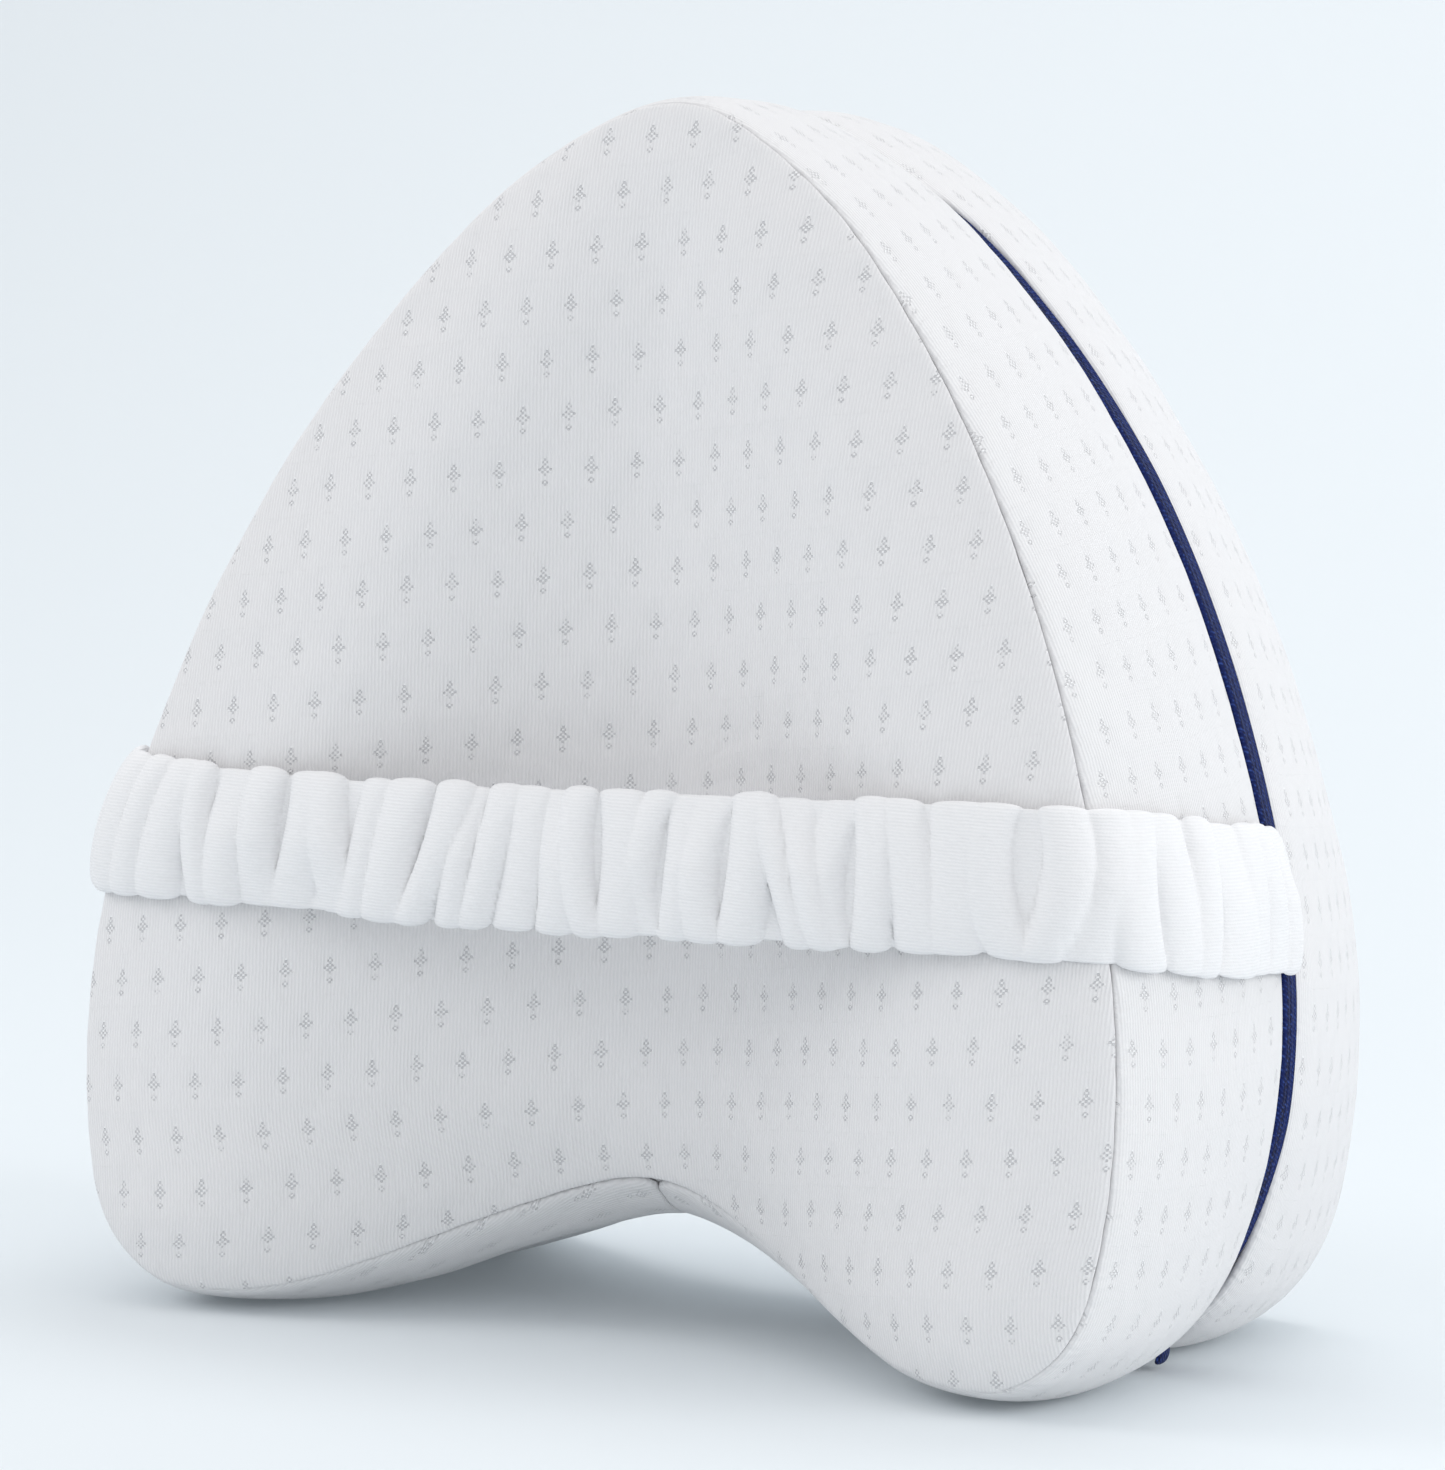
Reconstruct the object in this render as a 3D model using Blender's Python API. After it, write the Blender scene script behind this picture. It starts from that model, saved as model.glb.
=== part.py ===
"""Contoured knee pillow with a zipped two-strip gusset and a gathered elastic leg strap.

Metres, +Z up. The pillow stands on its two lobes with its front face towards -Y. The origin
is on the floor below the middle of the pillow.
"""
import math

import bmesh
import bpy
import numpy as np
from mathutils import Vector

MM = 0.001

# Seam outline of the front and back faces, right half, from the apex down to the arch
OUTLINE = (
    # half width, height
    (0.0, 236.4),
    (30.0, 221.5),
    (53.5, 196.0),
    (72.0, 168.0),
    (87.0, 137.5),
    (98.0, 106.0),
    (105.5, 73.0),
    (106.0, 38.0),
    (100.3, 15.0),
    (89.0, 5.4),
    (76.0, 4.0),
    (63.0, 6.0),
    (48.0, 12.0),
    (31.0, 20.3),
    (0.0, 30.7),
)
OUTLINE_STEPS = 84
CURVE_RADIUS = 22.0

# Depth of the face from the middle plane: two crests with a leg channel between them
FACE = (
    # height, crest half width, crest depth, channel depth
    (0.0, 88.0, 75.0, 40.0),
    (40.0, 87.0, 74.5, 40.5),
    (80.0, 83.0, 73.5, 41.0),
    (120.0, 73.0, 70.0, 43.5),
    (160.0, 58.0, 65.0, 46.5),
    (200.0, 36.0, 59.0, 50.0),
    (236.0, 14.0, 53.5, 52.5),
)
CROWN_DROP = 5.0
CROWN_WIDTH = 20.0
FACE_RINGS = (0.985, 0.955, 0.91, 0.84, 0.73, 0.58, 0.40, 0.20)
FACE_CENTRE = (0.0, 104.0)

# Gusset: how far the middle seam and the swell of each strip stand out from the seam outline
GUSSET = (
    # share of the way from the arch to the apex, middle seam, swell
    (0.00, 1.0, 9.0),
    (0.10, -1.5, 8.0),
    (0.20, -4.0, 7.5),
    (0.27, -3.5, 7.5),
    (0.33, 1.5, 6.0),
    (0.40, 5.0, 5.5),
    (0.48, 6.5, 5.5),
    (0.60, 6.5, 5.5),
    (0.72, 5.5, 5.5),
    (0.85, 2.5, 4.5),
    (0.94, 0.0, 3.0),
    (1.00, -1.0, 2.2),
)
SWELL_SKEW = 0.7
SWELL_FULLNESS = 2.5
STRIP_STATIONS = (0.0, 0.05, 0.15, 0.33, 0.58, 0.82, 1.0)
STRIP_THICKNESS = 2.0
SEAM_SETBACK = 0.6
GAP = 0.3
CLOSED_EDGE = 0.2
STRIP_JOIN = 0.3

# Zip tape in the middle seam, right side only
ZIP_START = (88.0, 6.0)
ZIP_TOP = 226.0
ZIP_EDGE = 3.6
ZIP_TAPER = 26.0
ZIP_RIBS = 3
ZIP_RIB_HEIGHT = 0.45
ZIP_SINK = 0.9
ZIP_RISE_START = 10.0
ZIP_RISE_LENGTH = 18.0
ZIP_DEPTH = 1.7
TAIL_PATH = ((89.6, 8.4), (91.7, 7.2), (93.1, 5.2), (93.3, 3.0), (92.4, 1.1))
TAIL_HALF_WIDTH = 3.2
TAIL_THICKNESS = 1.3

# Gathered strap: its lower and upper edge along the way from the right side to the left
STRAP = (
    # position from right (0) to left (1), lower edge, upper edge
    (0.0, 78.0, 106.5),
    (0.09, 79.0, 108.5),
    (0.22, 84.0, 112.5),
    (0.34, 83.0, 111.0),
    (0.50, 80.5, 108.5),
    (0.65, 79.5, 106.5),
    (0.80, 79.5, 107.0),
    (1.0, 79.0, 106.5),
)
STRAP_STEPS = 172
STRAP_ROWS = 5
STRAP_CLEARANCE = 0.6
STRAP_THICKNESS = 2.6
PLEAT_DEPTH = 2.2
PLEAT_PITCH = 7.4
PLEAT_DRIFT = 0.55
STRAP_END_THICKNESS = 1.2
STRAP_RIGHT_END = 3.2

COLLECTION = "knee_pillow"
KNIT_WHITE = (0.86, 0.86, 0.88)
STRAP_WHITE = (0.90, 0.91, 0.93)
ZIP_NAVY = (0.010, 0.022, 0.110)


def clear_scene():
    for item in list(bpy.data.objects):
        bpy.data.objects.remove(item, do_unlink=True)


def make_material(name, colour, roughness):
    material = bpy.data.materials.new(name)
    material.use_nodes = True
    shader = material.node_tree.nodes["Principled BSDF"]
    shader.inputs["Base Color"].default_value = (*colour, 1.0)
    shader.inputs["Roughness"].default_value = roughness
    shader.inputs["Metallic"].default_value = 0.0
    return material


def smooth_table(rows, column, at):
    """One column of a table whose first column is the position, read off smoothly."""
    place = np.array([row[0] for row in rows])
    value = np.array([row[column] for row in rows])
    slope = np.gradient(value, place)
    at = np.clip(at, place[0], place[-1])
    cell = np.clip(np.searchsorted(place, at) - 1, 0, len(place) - 2)
    width = place[cell + 1] - place[cell]
    s = (at - place[cell]) / width
    start = (1 + 2 * s) * (1 - s) ** 2 * value[cell] + s * (1 - s) ** 2 * width * slope[cell]
    end = s * s * (3 - 2 * s) * value[cell + 1] + s * s * (s - 1) * width * slope[cell + 1]
    return start + end


def closed_curve(points, per_span):
    """A smooth closed curve through the points, with tangents from each point's neighbours."""
    points = np.array(points)
    after = np.roll(points, -1, 0)
    before = np.roll(points, 1, 0)
    reach = np.sqrt(np.linalg.norm(after - points, axis=1))
    reach_before = np.roll(reach, 1)
    ahead = (after - points) / reach[:, None]
    behind = (points - before) / reach_before[:, None]
    tangent = (ahead * reach_before[:, None] + behind * reach[:, None]) / (reach + reach_before)[:, None]
    s = (np.arange(per_span) / per_span)[None, :, None]
    width = reach[:, None, None]
    curve = (
        (1 + 2 * s) * (1 - s) ** 2 * points[:, None]
        + s * (1 - s) ** 2 * width * tangent[:, None]
        + s * s * (3 - 2 * s) * after[:, None]
        + s * s * (s - 1) * width * np.roll(tangent, -1, 0)[:, None]
    )
    return curve.reshape(-1, 2)


def resample(curve, count):
    """Points along a closed curve from its first point, closer together where it bends tightly."""
    loop = np.vstack([curve, curve[:1]])
    side = np.diff(loop, axis=0)
    length = np.linalg.norm(side, axis=1)
    heading = np.unwrap(np.arctan2(side[:, 1], side[:, 0]))
    bend = np.abs(np.diff(heading, append=heading[0] + 2.0 * math.pi)) / length
    bend = (np.roll(bend, 1) + bend + np.roll(bend, -1)) / 3.0
    along = np.concatenate([[0.0], np.cumsum(length * (1.0 + CURVE_RADIUS * bend))])
    at = np.linspace(0.0, along[-1], count, endpoint=False)
    return np.stack([np.interp(at, along, loop[:, axis]) for axis in (0, 1)], axis=1)


def outline_curve():
    """The whole seam outline, from the top of the arch up the right side and down the left."""
    right = [(x, z) for x, z in reversed(OUTLINE)]
    left = [(-x, z) for x, z in OUTLINE[1:-1]]
    curve = resample(closed_curve(right + left, 16), OUTLINE_STEPS)
    half = OUTLINE_STEPS // 2
    curve[half + 1:] = curve[1:half][::-1] * np.array([-1.0, 1.0])
    curve[[0, half], 0] = 0.0
    return curve


def way_round(curve):
    """Each outline point's share of the way from the arch (0) to the apex (1), on either side."""
    half = OUTLINE_STEPS // 2
    length = np.linalg.norm(np.diff(curve[: half + 1], axis=0), axis=1)
    share = np.concatenate([[0.0], np.cumsum(length)]) / length.sum()
    return np.concatenate([share, share[1:-1][::-1]])


def outward(curve):
    """Unit normals that point out of a closed curve that runs anticlockwise."""
    tangent = np.roll(curve, -1, 0) - np.roll(curve, 1, 0)
    normal = np.stack([tangent[:, 1], -tangent[:, 0]], axis=1)
    return normal / np.linalg.norm(normal, axis=1)[:, None]


def edge_distance(points, curve):
    """Distance from each point to a closed curve."""
    start = curve[None]
    side = (np.roll(curve, -1, 0) - curve)[None]
    offset = points[:, None] - start
    share = np.clip((offset * side).sum(2) / (side**2).sum(2), 0.0, 1.0)
    return np.linalg.norm(offset - side * share[..., None], axis=2).min(1)


def crest_and_channel(x, z):
    """Depth of the face before its edge is drawn in to the seam."""
    half_width = smooth_table(FACE, 1, z)
    crest = smooth_table(FACE, 2, z)
    channel = smooth_table(FACE, 3, z)
    share = np.sin(0.5 * math.pi * np.clip(np.abs(x) / half_width, 0.0, 1.0)) ** 2
    return channel + (crest - channel) * share


def face_depth(x, z, curve):
    inward = np.clip(edge_distance(np.stack([x, z], axis=1), curve) / CROWN_WIDTH, 0.0, 1.0)
    return crest_and_channel(x, z) - CROWN_DROP * (1.0 - inward) ** 2


def seam_depth(curve):
    return crest_and_channel(curve[:, 0], curve[:, 1]) - CROWN_DROP


def gusset_offset(curve, share):
    """How far the gusset stands out of the outline, at a share of the way from middle to seam."""
    middle = smooth_table(GUSSET, 1, way_round(curve))
    swell = smooth_table(GUSSET, 2, way_round(curve))
    rise = 1.0 - np.abs(2.0 * share**SWELL_SKEW - 1.0) ** SWELL_FULLNESS
    return middle * (1.0 - share) + swell * rise


def gusset_layer(curve, share, depth, inset):
    """A line of the gusset's surface, set in by a thickness and pressed flat on the floor."""
    spread = outward(curve) * (gusset_offset(curve, share) - inset)[:, None]
    line = curve + spread
    return np.stack([line[:, 0], -depth * share, np.maximum(line[:, 1], inset)], axis=1)


def new_object(name, mesh_builder, material, collection, smooth_angle=50.0):
    mesh = bpy.data.meshes.new(name)
    mesh_builder.to_mesh(mesh)
    mesh_builder.free()
    mesh.materials.append(material)
    mesh.shade_smooth()
    mesh.set_sharp_from_angle(angle=math.radians(smooth_angle))
    item = bpy.data.objects.new(name, mesh)
    collection.objects.link(item)
    return item


def add_rings(builder, rings):
    return [[builder.verts.new(Vector(point) * MM) for point in ring] for ring in rings]


def bridge(builder, first, second, closed):
    count = len(first)
    for i in range(count if closed else count - 1):
        k = (i + 1) % count
        builder.faces.new((first[i], first[k], second[k], second[i]))


def fan(builder, ring, centre, reverse):
    hub = builder.verts.new(Vector(centre) * MM)
    for i, corner in enumerate(ring):
        following = ring[(i + 1) % len(ring)]
        pair = (following, corner) if reverse else (corner, following)
        builder.faces.new((*pair, hub))


def finish_faces(builder):
    bmesh.ops.triangulate(builder, faces=builder.faces)
    bmesh.ops.recalc_face_normals(builder, faces=builder.faces)


def loft(name, rings, material, collection, smooth_angle=50.0):
    """A closed solid through a row of closed rings, with a flat face at each end."""
    builder = bmesh.new()
    rows = add_rings(builder, rings)
    for first, second in zip(rows, rows[1:]):
        bridge(builder, first, second, closed=True)
    builder.faces.new(list(reversed(rows[0])))
    builder.faces.new(rows[-1])
    finish_faces(builder)
    return new_object(name, builder, material, collection, smooth_angle)


def face_ring(curve, scale):
    centre = np.array(FACE_CENTRE)
    ring = centre + (curve - centre) * scale
    depth = face_depth(ring[:, 0], ring[:, 1], curve)
    return np.stack([ring[:, 0], -depth, ring[:, 1]], axis=1)


def mirrored(ring):
    """The same ring behind the middle plane."""
    return ring * np.array([1.0, -1.0, 1.0])


def make_pillow(curve, material, collection):
    """The filled pillow: both contoured faces, and sides set in under the gusset strips."""
    depth = seam_depth(curve)
    inset = STRIP_THICKNESS + GAP
    shares = strip_shares(curve, depth)
    rim = np.stack([curve[:, 0], -depth, curve[:, 1]], axis=1)
    under_rim = gusset_layer(curve, 1.0, depth - 0.3 * GAP, inset)
    sides = [gusset_layer(curve, share, depth, inset) for share in reversed(shares[1:])]
    groove = gusset_layer(curve, 0.0, depth, inset)
    groove[:, 1] = -depth * shares[0]
    front = [face_ring(curve, scale) for scale in reversed(FACE_RINGS)]
    front += [rim, under_rim] + sides + [groove]
    rings = front + [mirrored(ring) for ring in reversed(front)]
    builder = bmesh.new()
    rows = add_rings(builder, rings)
    for first, second in zip(rows, rows[1:]):
        bridge(builder, first, second, closed=True)
    x, z = FACE_CENTRE
    middle = float(face_depth(np.array([x]), np.array([z]), curve)[0])
    fan(builder, rows[0], (x, -middle, z), reverse=True)
    fan(builder, rows[-1], (x, middle, z), reverse=False)
    finish_faces(builder)
    return new_object("pillow", builder, material, collection)


def zip_steps(curve):
    """Outline steps that the zip covers, from under the right lobe up to near the apex."""
    first = int(np.argmin(np.linalg.norm(curve - np.array(ZIP_START), axis=1)))
    last = first
    while curve[last + 1, 1] < ZIP_TOP:
        last += 1
    return np.arange(first, last + 1)


def middle_edge(curve):
    """Half the width of the opening between the two strips: wide at the zip, closed elsewhere."""
    edge = np.full(len(curve), CLOSED_EDGE)
    steps = zip_steps(curve)
    opening = np.clip((ZIP_TOP - curve[steps, 1]) / ZIP_TAPER, 0.0, 1.0)
    edge[steps] += (ZIP_EDGE - CLOSED_EDGE) * np.sin(0.5 * math.pi * opening)
    return edge


def strip_shares(curve, depth):
    """Stations across a strip, each as its share of the way from the middle plane to the seam."""
    first = middle_edge(curve) / depth
    last = 1.0 - SEAM_SETBACK / depth
    return [first + (last - first) * station for station in STRIP_STATIONS]


def gusset_rings(curve, depth):
    """Cross-sections of one strip: its outer line from middle to seam, then its inner line back."""
    shares = strip_shares(curve, depth)
    outer = [gusset_layer(curve, share, depth, 0.0) for share in shares]
    inner = [gusset_layer(curve, share, depth, STRIP_THICKNESS) for share in reversed(shares)]
    return np.swapaxes(np.array(outer + inner), 0, 1)


def make_gusset(name, curve, back, material, collection):
    """One gusset strip, cut open at the top of the arch where its two ends meet."""
    rings = gusset_rings(curve, seam_depth(curve))
    seam = np.array([STRIP_JOIN, 0.0, 0.0])
    rings = np.concatenate([rings[:1] + seam, rings[1:], rings[:1] - seam])
    if back:
        rings = rings * np.array([1.0, -1.0, 1.0])
    return loft(name, rings, material, collection)


def zip_ring(point, normal, half_width):
    """Cross-section of the zip tape: a ribbed outer side and a flat inner side."""
    steps = ZIP_RIBS * 4
    ring = []
    for i in range(steps + 1):
        across = i / steps
        rib = 0.5 - 0.5 * math.cos(2.0 * math.pi * ZIP_RIBS * across)
        ring.append((half_width * (1.0 - 2.0 * across), ZIP_RIB_HEIGHT * rib))
    ring += [(-half_width, -ZIP_DEPTH), (half_width, -ZIP_DEPTH)]
    return [(point[0] + normal[0] * up, y, point[1] + normal[1] * up) for y, up in ring]


def make_zip(curve, material, collection):
    edge = middle_edge(curve)
    normals = outward(curve)
    deep = gusset_offset(curve, 0.0)
    lip = gusset_offset(curve, edge / seam_depth(curve)) - ZIP_SINK
    rise = np.clip((curve[:, 1] - ZIP_RISE_START) / ZIP_RISE_LENGTH, 0.0, 1.0)
    line = curve + normals * (deep + (lip - deep) * rise)[:, None]
    rings = []
    for i in zip_steps(curve):
        if edge[i] > 2.0 * GAP:
            rings.append(zip_ring(line[i], normals[i], edge[i] - GAP))
    return loft("zip_tape", rings, material, collection, 80.0)


def make_zip_tail(material, collection):
    """The loose end of the zip tape, curling down out of the seam below the right lobe."""
    path = np.array(TAIL_PATH)
    tangent = np.gradient(path, axis=0)
    normal = np.stack([tangent[:, 1], -tangent[:, 0]], axis=1)
    normal /= np.linalg.norm(normal, axis=1)[:, None]
    rings = []
    for point, side in zip(path, normal):
        half = 0.5 * TAIL_THICKNESS * side
        corners = []
        for across, layer in ((-1, 1), (0, 1.3), (1, 1), (1, -1), (-1, -1)):
            x, z = point + half * layer
            corners.append((x, TAIL_HALF_WIDTH * across, z))
        rings.append(corners)
    return loft("zip_tail", rings, material, collection, 40.0)


def convex_front(points):
    """The taut line round the front of a row of points, from the first point to the last."""
    chain = []
    for point in points:
        while len(chain) >= 2:
            a, b = chain[-2], chain[-1]
            turn = (b[0] - a[0]) * (point[1] - a[1]) - (b[1] - a[1]) * (point[0] - a[0])
            if turn < 0.0:
                break
            chain.pop()
        chain.append(point)
    return np.array(chain)


def slice_line(curve, height):
    """Outer line of the front half at one height, from the right middle seam round to the left."""
    depth = seam_depth(curve)
    right = curve[:, 0] > 0.0
    side = []
    for share in np.linspace(0.0, 1.0, 17):
        layer = gusset_layer(curve, share, depth, 0.0)[right]
        above = layer[:, 2] > 45.0
        layer = layer[above][np.argsort(layer[above][:, 2])]
        x = np.interp(height, layer[:, 2], layer[:, 0])
        y = np.interp(height, layer[:, 2], layer[:, 1])
        side.append((x, y))
    rim_x = side[-1][0]
    across = np.linspace(rim_x, -rim_x, 61)[1:-1]
    front = [(x, -d) for x, d in zip(across, face_depth(across, np.full(59, height), curve))]
    left = [(-x, y) for x, y in reversed(side[1:])]
    return side, front, left


def strap_line(curve, height, stations):
    """Where the strap runs at one height: round the right side, straight across, round the left."""
    side, front, left = slice_line(curve, height)
    depth_along = [-y for _, y in side]
    anchor_x = np.interp(STRAP_RIGHT_END, depth_along, [x for x, _ in side]) + GAP
    anchor = (float(anchor_x), STRAP_RIGHT_END)
    taut = convex_front([anchor] + side + front + left)
    tangent = np.gradient(taut, axis=0)
    normal = np.stack([-tangent[:, 1], tangent[:, 0]], axis=1)
    normal /= np.linalg.norm(normal, axis=1)[:, None]
    normal *= np.sign((normal * (taut - [0.0, 5.0])).sum(1))[:, None]
    line = taut + normal * STRAP_CLEARANCE
    along = np.concatenate([[0.0], np.cumsum(np.linalg.norm(np.diff(line, axis=0), axis=1))])
    at = stations * along[-1]
    point = np.stack([np.interp(at, along, line[:, axis]) for axis in (0, 1)], axis=1)
    outer = np.stack([np.interp(at, along, normal[:, axis]) for axis in (0, 1)], axis=1)
    return point, outer / np.linalg.norm(outer, axis=1)[:, None], along[-1]


def pleat_wave(distance, row):
    """Height of the gathers, 0 to 1: uneven pleats that lean, crowd and fork between the edges."""
    lean = 0.9 * np.sin(0.071 * distance + 0.8) * (row - 0.5)
    phase = distance / PLEAT_PITCH + 0.42 * np.sin(0.113 * distance) + 0.25 * np.sin(0.29 * distance + 1.0) + lean
    main = 0.5 + 0.5 * np.cos(2.0 * math.pi * phase)
    fork = 0.5 + 0.5 * np.cos(math.pi * phase + PLEAT_DRIFT * math.pi * row)
    return main * (0.62 + 0.38 * fork)


def make_strap(curve, material, collection):
    """The gathered sleeve: sections stand across the strap, and pleats swell its outer side."""
    stations = np.linspace(0.0, 1.0, STRAP_STEPS)
    low = smooth_table(STRAP, 1, stations)
    high = smooth_table(STRAP, 2, stations)
    sample_heights = np.linspace(74.0, 116.0, 8)
    lines = [strap_line(curve, height, stations) for height in sample_heights]
    points = np.array([line[0] for line in lines])
    normals = np.array([line[1] for line in lines])
    length = lines[4][2]
    ends = np.clip(np.minimum(stations, 1.0 - stations) * length / 16.0, 0.0, 1.0)
    body = STRAP_END_THICKNESS + (STRAP_THICKNESS - STRAP_END_THICKNESS) * ends
    rings = []
    for i, place in enumerate(stations):
        rows = np.linspace(0.0, 1.0, STRAP_ROWS)
        swell = pleat_wave(np.full(STRAP_ROWS, place * length), rows) * PLEAT_DEPTH * ends[i]
        scallop = 0.7 * (pleat_wave(place * length, 0.5) - 0.5) * ends[i]
        heights = low[i] - scallop + (high[i] - low[i] + 2 * scallop) * rows
        at = np.stack([np.interp(heights, sample_heights, points[:, i, axis]) for axis in (0, 1)], axis=1)
        out = np.stack([np.interp(heights, sample_heights, normals[:, i, axis]) for axis in (0, 1)], axis=1)
        edge = np.sin(math.pi * np.clip(rows, 0.06, 0.94)) ** 0.5
        reach = (body[i] + swell) * (0.35 + 0.65 * edge)
        outer = [(*(at[k] + out[k] * reach[k]), heights[k]) for k in range(STRAP_ROWS)]
        inner = [(*at[k], heights[k]) for k in (STRAP_ROWS - 1, STRAP_ROWS // 2, 0)]
        rings.append(outer + inner)
    return loft("strap", rings, material, collection, 60.0)


def main():
    clear_scene()
    collection = bpy.data.collections.new(COLLECTION)
    bpy.context.scene.collection.children.link(collection)
    knit = make_material("white_knit", KNIT_WHITE, 0.85)
    sleeve = make_material("white_sleeve", STRAP_WHITE, 0.85)
    navy = make_material("navy_tape", ZIP_NAVY, 0.55)
    curve = outline_curve()
    make_pillow(curve, knit, collection)
    make_gusset("gusset_front", curve, False, knit, collection)
    make_gusset("gusset_back", curve, True, knit, collection)
    make_zip(curve, navy, collection)
    make_zip_tail(navy, collection)
    make_strap(curve, sleeve, collection)


main()
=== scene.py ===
import math
import random

import bmesh
import bpy
import numpy as np
from mathutils import Matrix, Vector, noise
from mathutils.bvhtree import BVHTree
from mathutils.kdtree import KDTree


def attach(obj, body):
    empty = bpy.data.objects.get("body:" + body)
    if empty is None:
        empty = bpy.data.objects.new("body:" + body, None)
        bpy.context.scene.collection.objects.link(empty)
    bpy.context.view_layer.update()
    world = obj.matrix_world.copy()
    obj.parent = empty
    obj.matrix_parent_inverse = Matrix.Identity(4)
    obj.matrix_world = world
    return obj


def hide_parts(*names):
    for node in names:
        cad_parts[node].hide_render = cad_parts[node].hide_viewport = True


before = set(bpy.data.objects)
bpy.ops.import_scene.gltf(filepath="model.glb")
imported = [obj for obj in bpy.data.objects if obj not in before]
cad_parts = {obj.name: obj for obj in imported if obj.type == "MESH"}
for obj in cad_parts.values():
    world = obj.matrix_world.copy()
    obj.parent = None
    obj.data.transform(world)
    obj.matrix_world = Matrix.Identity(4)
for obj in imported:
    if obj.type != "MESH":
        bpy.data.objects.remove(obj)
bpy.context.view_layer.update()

scene = bpy.context.scene
mm = 0.001


# shader helpers: a wire carries one socket through plain arithmetic
class Wire:
    def __init__(self, tree, socket):
        self.tree = tree
        self.socket = socket

    def math(self, operation, *others, clamp=False):
        node = self.tree.nodes.new("ShaderNodeMath")
        node.operation = operation
        node.use_clamp = clamp
        for slot, item in enumerate((self, *others)):
            plug(self.tree, node.inputs[slot], item)
        return Wire(self.tree, node.outputs[0])

    def flipped(self, operation, other):
        node = self.tree.nodes.new("ShaderNodeMath")
        node.operation = operation
        plug(self.tree, node.inputs[0], other)
        plug(self.tree, node.inputs[1], self)
        return Wire(self.tree, node.outputs[0])

    def __add__(self, other):
        return self.math("ADD", other)

    def __radd__(self, other):
        return self.math("ADD", other)

    def __sub__(self, other):
        return self.math("SUBTRACT", other)

    def __rsub__(self, other):
        return self.flipped("SUBTRACT", other)

    def __mul__(self, other):
        return self.math("MULTIPLY", other)

    def __rmul__(self, other):
        return self.math("MULTIPLY", other)

    def __truediv__(self, other):
        return self.math("DIVIDE", other)

    def floor(self):
        return self.math("FLOOR")

    def part(self):
        return self.math("FRACT")

    def wave(self, pitch):
        return (self * (2.0 * math.pi / pitch)).math("COSINE") * 0.5 + 0.5

    def clamped(self):
        return self.math("ADD", 0.0, clamp=True)

    def power(self, exponent):
        return self.math("POWER", exponent)


def plug(tree, socket, item):
    if isinstance(item, Wire):
        tree.links.new(item.socket, socket)
    else:
        socket.default_value = item


class Finish:
    def __init__(self, name, fixed):
        self.material = bpy.data.materials.new(name)
        self.material.use_nodes = True
        self.tree = self.material.node_tree
        self.shader = self.tree.nodes["Principled BSDF"]
        for socket, value in fixed.items():
            self.shader.inputs[socket].default_value = value

    def node(self, kind, settings, sockets, output=0):
        node = self.tree.nodes.new(kind)
        for name, value in settings.items():
            setattr(node, name, value)
        for name, item in sockets.items():
            plug(self.tree, node.inputs[name], item)
        return Wire(self.tree, node.outputs[output])

    def weave(self):
        place = self.node("ShaderNodeUVMap", {"uv_map": "weave"}, {})
        across = self.node("ShaderNodeSeparateXYZ", {}, {0: place}, 0)
        along = self.node("ShaderNodeSeparateXYZ", {}, {0: place}, 1)
        return across * 1000.0, along * 1000.0

    def spot(self, across, along):
        return self.node("ShaderNodeCombineXYZ", {}, {0: across, 1: along})

    def cloud(self, where, scale, detail=2.0):
        return self.node("ShaderNodeTexNoise", {}, {"Vector": where, "Scale": scale, "Detail": detail})

    def attribute(self, name):
        return self.node("ShaderNodeAttribute", {"attribute_name": name}, {}, 2)

    def blend(self, factor, first, second):
        return self.node("ShaderNodeMix", {"data_type": "RGBA"}, {0: factor, 6: first, 7: second}, 2)

    def colour(self, item):
        plug(self.tree, self.shader.inputs["Base Color"], item)

    def rough(self, item):
        plug(self.tree, self.shader.inputs["Roughness"], item)

    def bump(self, height, strength=1.0):
        relief = self.node("ShaderNodeBump", {}, {"Height": height, "Distance": mm, "Strength": strength})
        plug(self.tree, self.shader.inputs["Normal"], relief)


# mesh helpers
def placed(name, mesh):
    item = bpy.data.objects.new(name, mesh)
    scene.collection.objects.link(item)
    return item


def cadBuilder(node):
    builder = bmesh.new()
    builder.from_mesh(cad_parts[node].data)
    bmesh.ops.remove_doubles(builder, verts=builder.verts, dist=0.02 * mm)
    bmesh.ops.join_triangles(
        builder,
        faces=builder.faces,
        angle_face_threshold=math.radians(50),
        angle_shape_threshold=math.radians(80),
    )
    return builder


def cadTree(node):
    builder = bmesh.new()
    builder.from_mesh(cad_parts[node].data)
    tree = BVHTree.FromBMesh(builder)
    builder.free()
    return tree


def meshOf(builder, name):
    mesh = bpy.data.meshes.new(name)
    builder.to_mesh(mesh)
    builder.free()
    mesh.shade_smooth()
    return mesh


def settle(item):
    graph = bpy.context.evaluated_depsgraph_get()
    shaped = bpy.data.meshes.new_from_object(item.evaluated_get(graph))
    item.modifiers.clear()
    item.data = shaped


def subdivide(item, levels):
    subdivision = item.modifiers.new("subdivision", "SUBSURF")
    subdivision.levels = levels
    subdivision.render_levels = levels
    settle(item)


def pointsOf(mesh):
    points = np.empty(len(mesh.vertices) * 3)
    mesh.vertices.foreach_get("co", points)
    return points.reshape(-1, 3)


def normalsOf(mesh):
    normals = np.empty(len(mesh.vertices) * 3)
    mesh.vertex_normals.foreach_get("vector", normals)
    return normals.reshape(-1, 3)


def movePoints(mesh, points):
    mesh.vertices.foreach_set("co", points.ravel())
    mesh.update()


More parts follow.
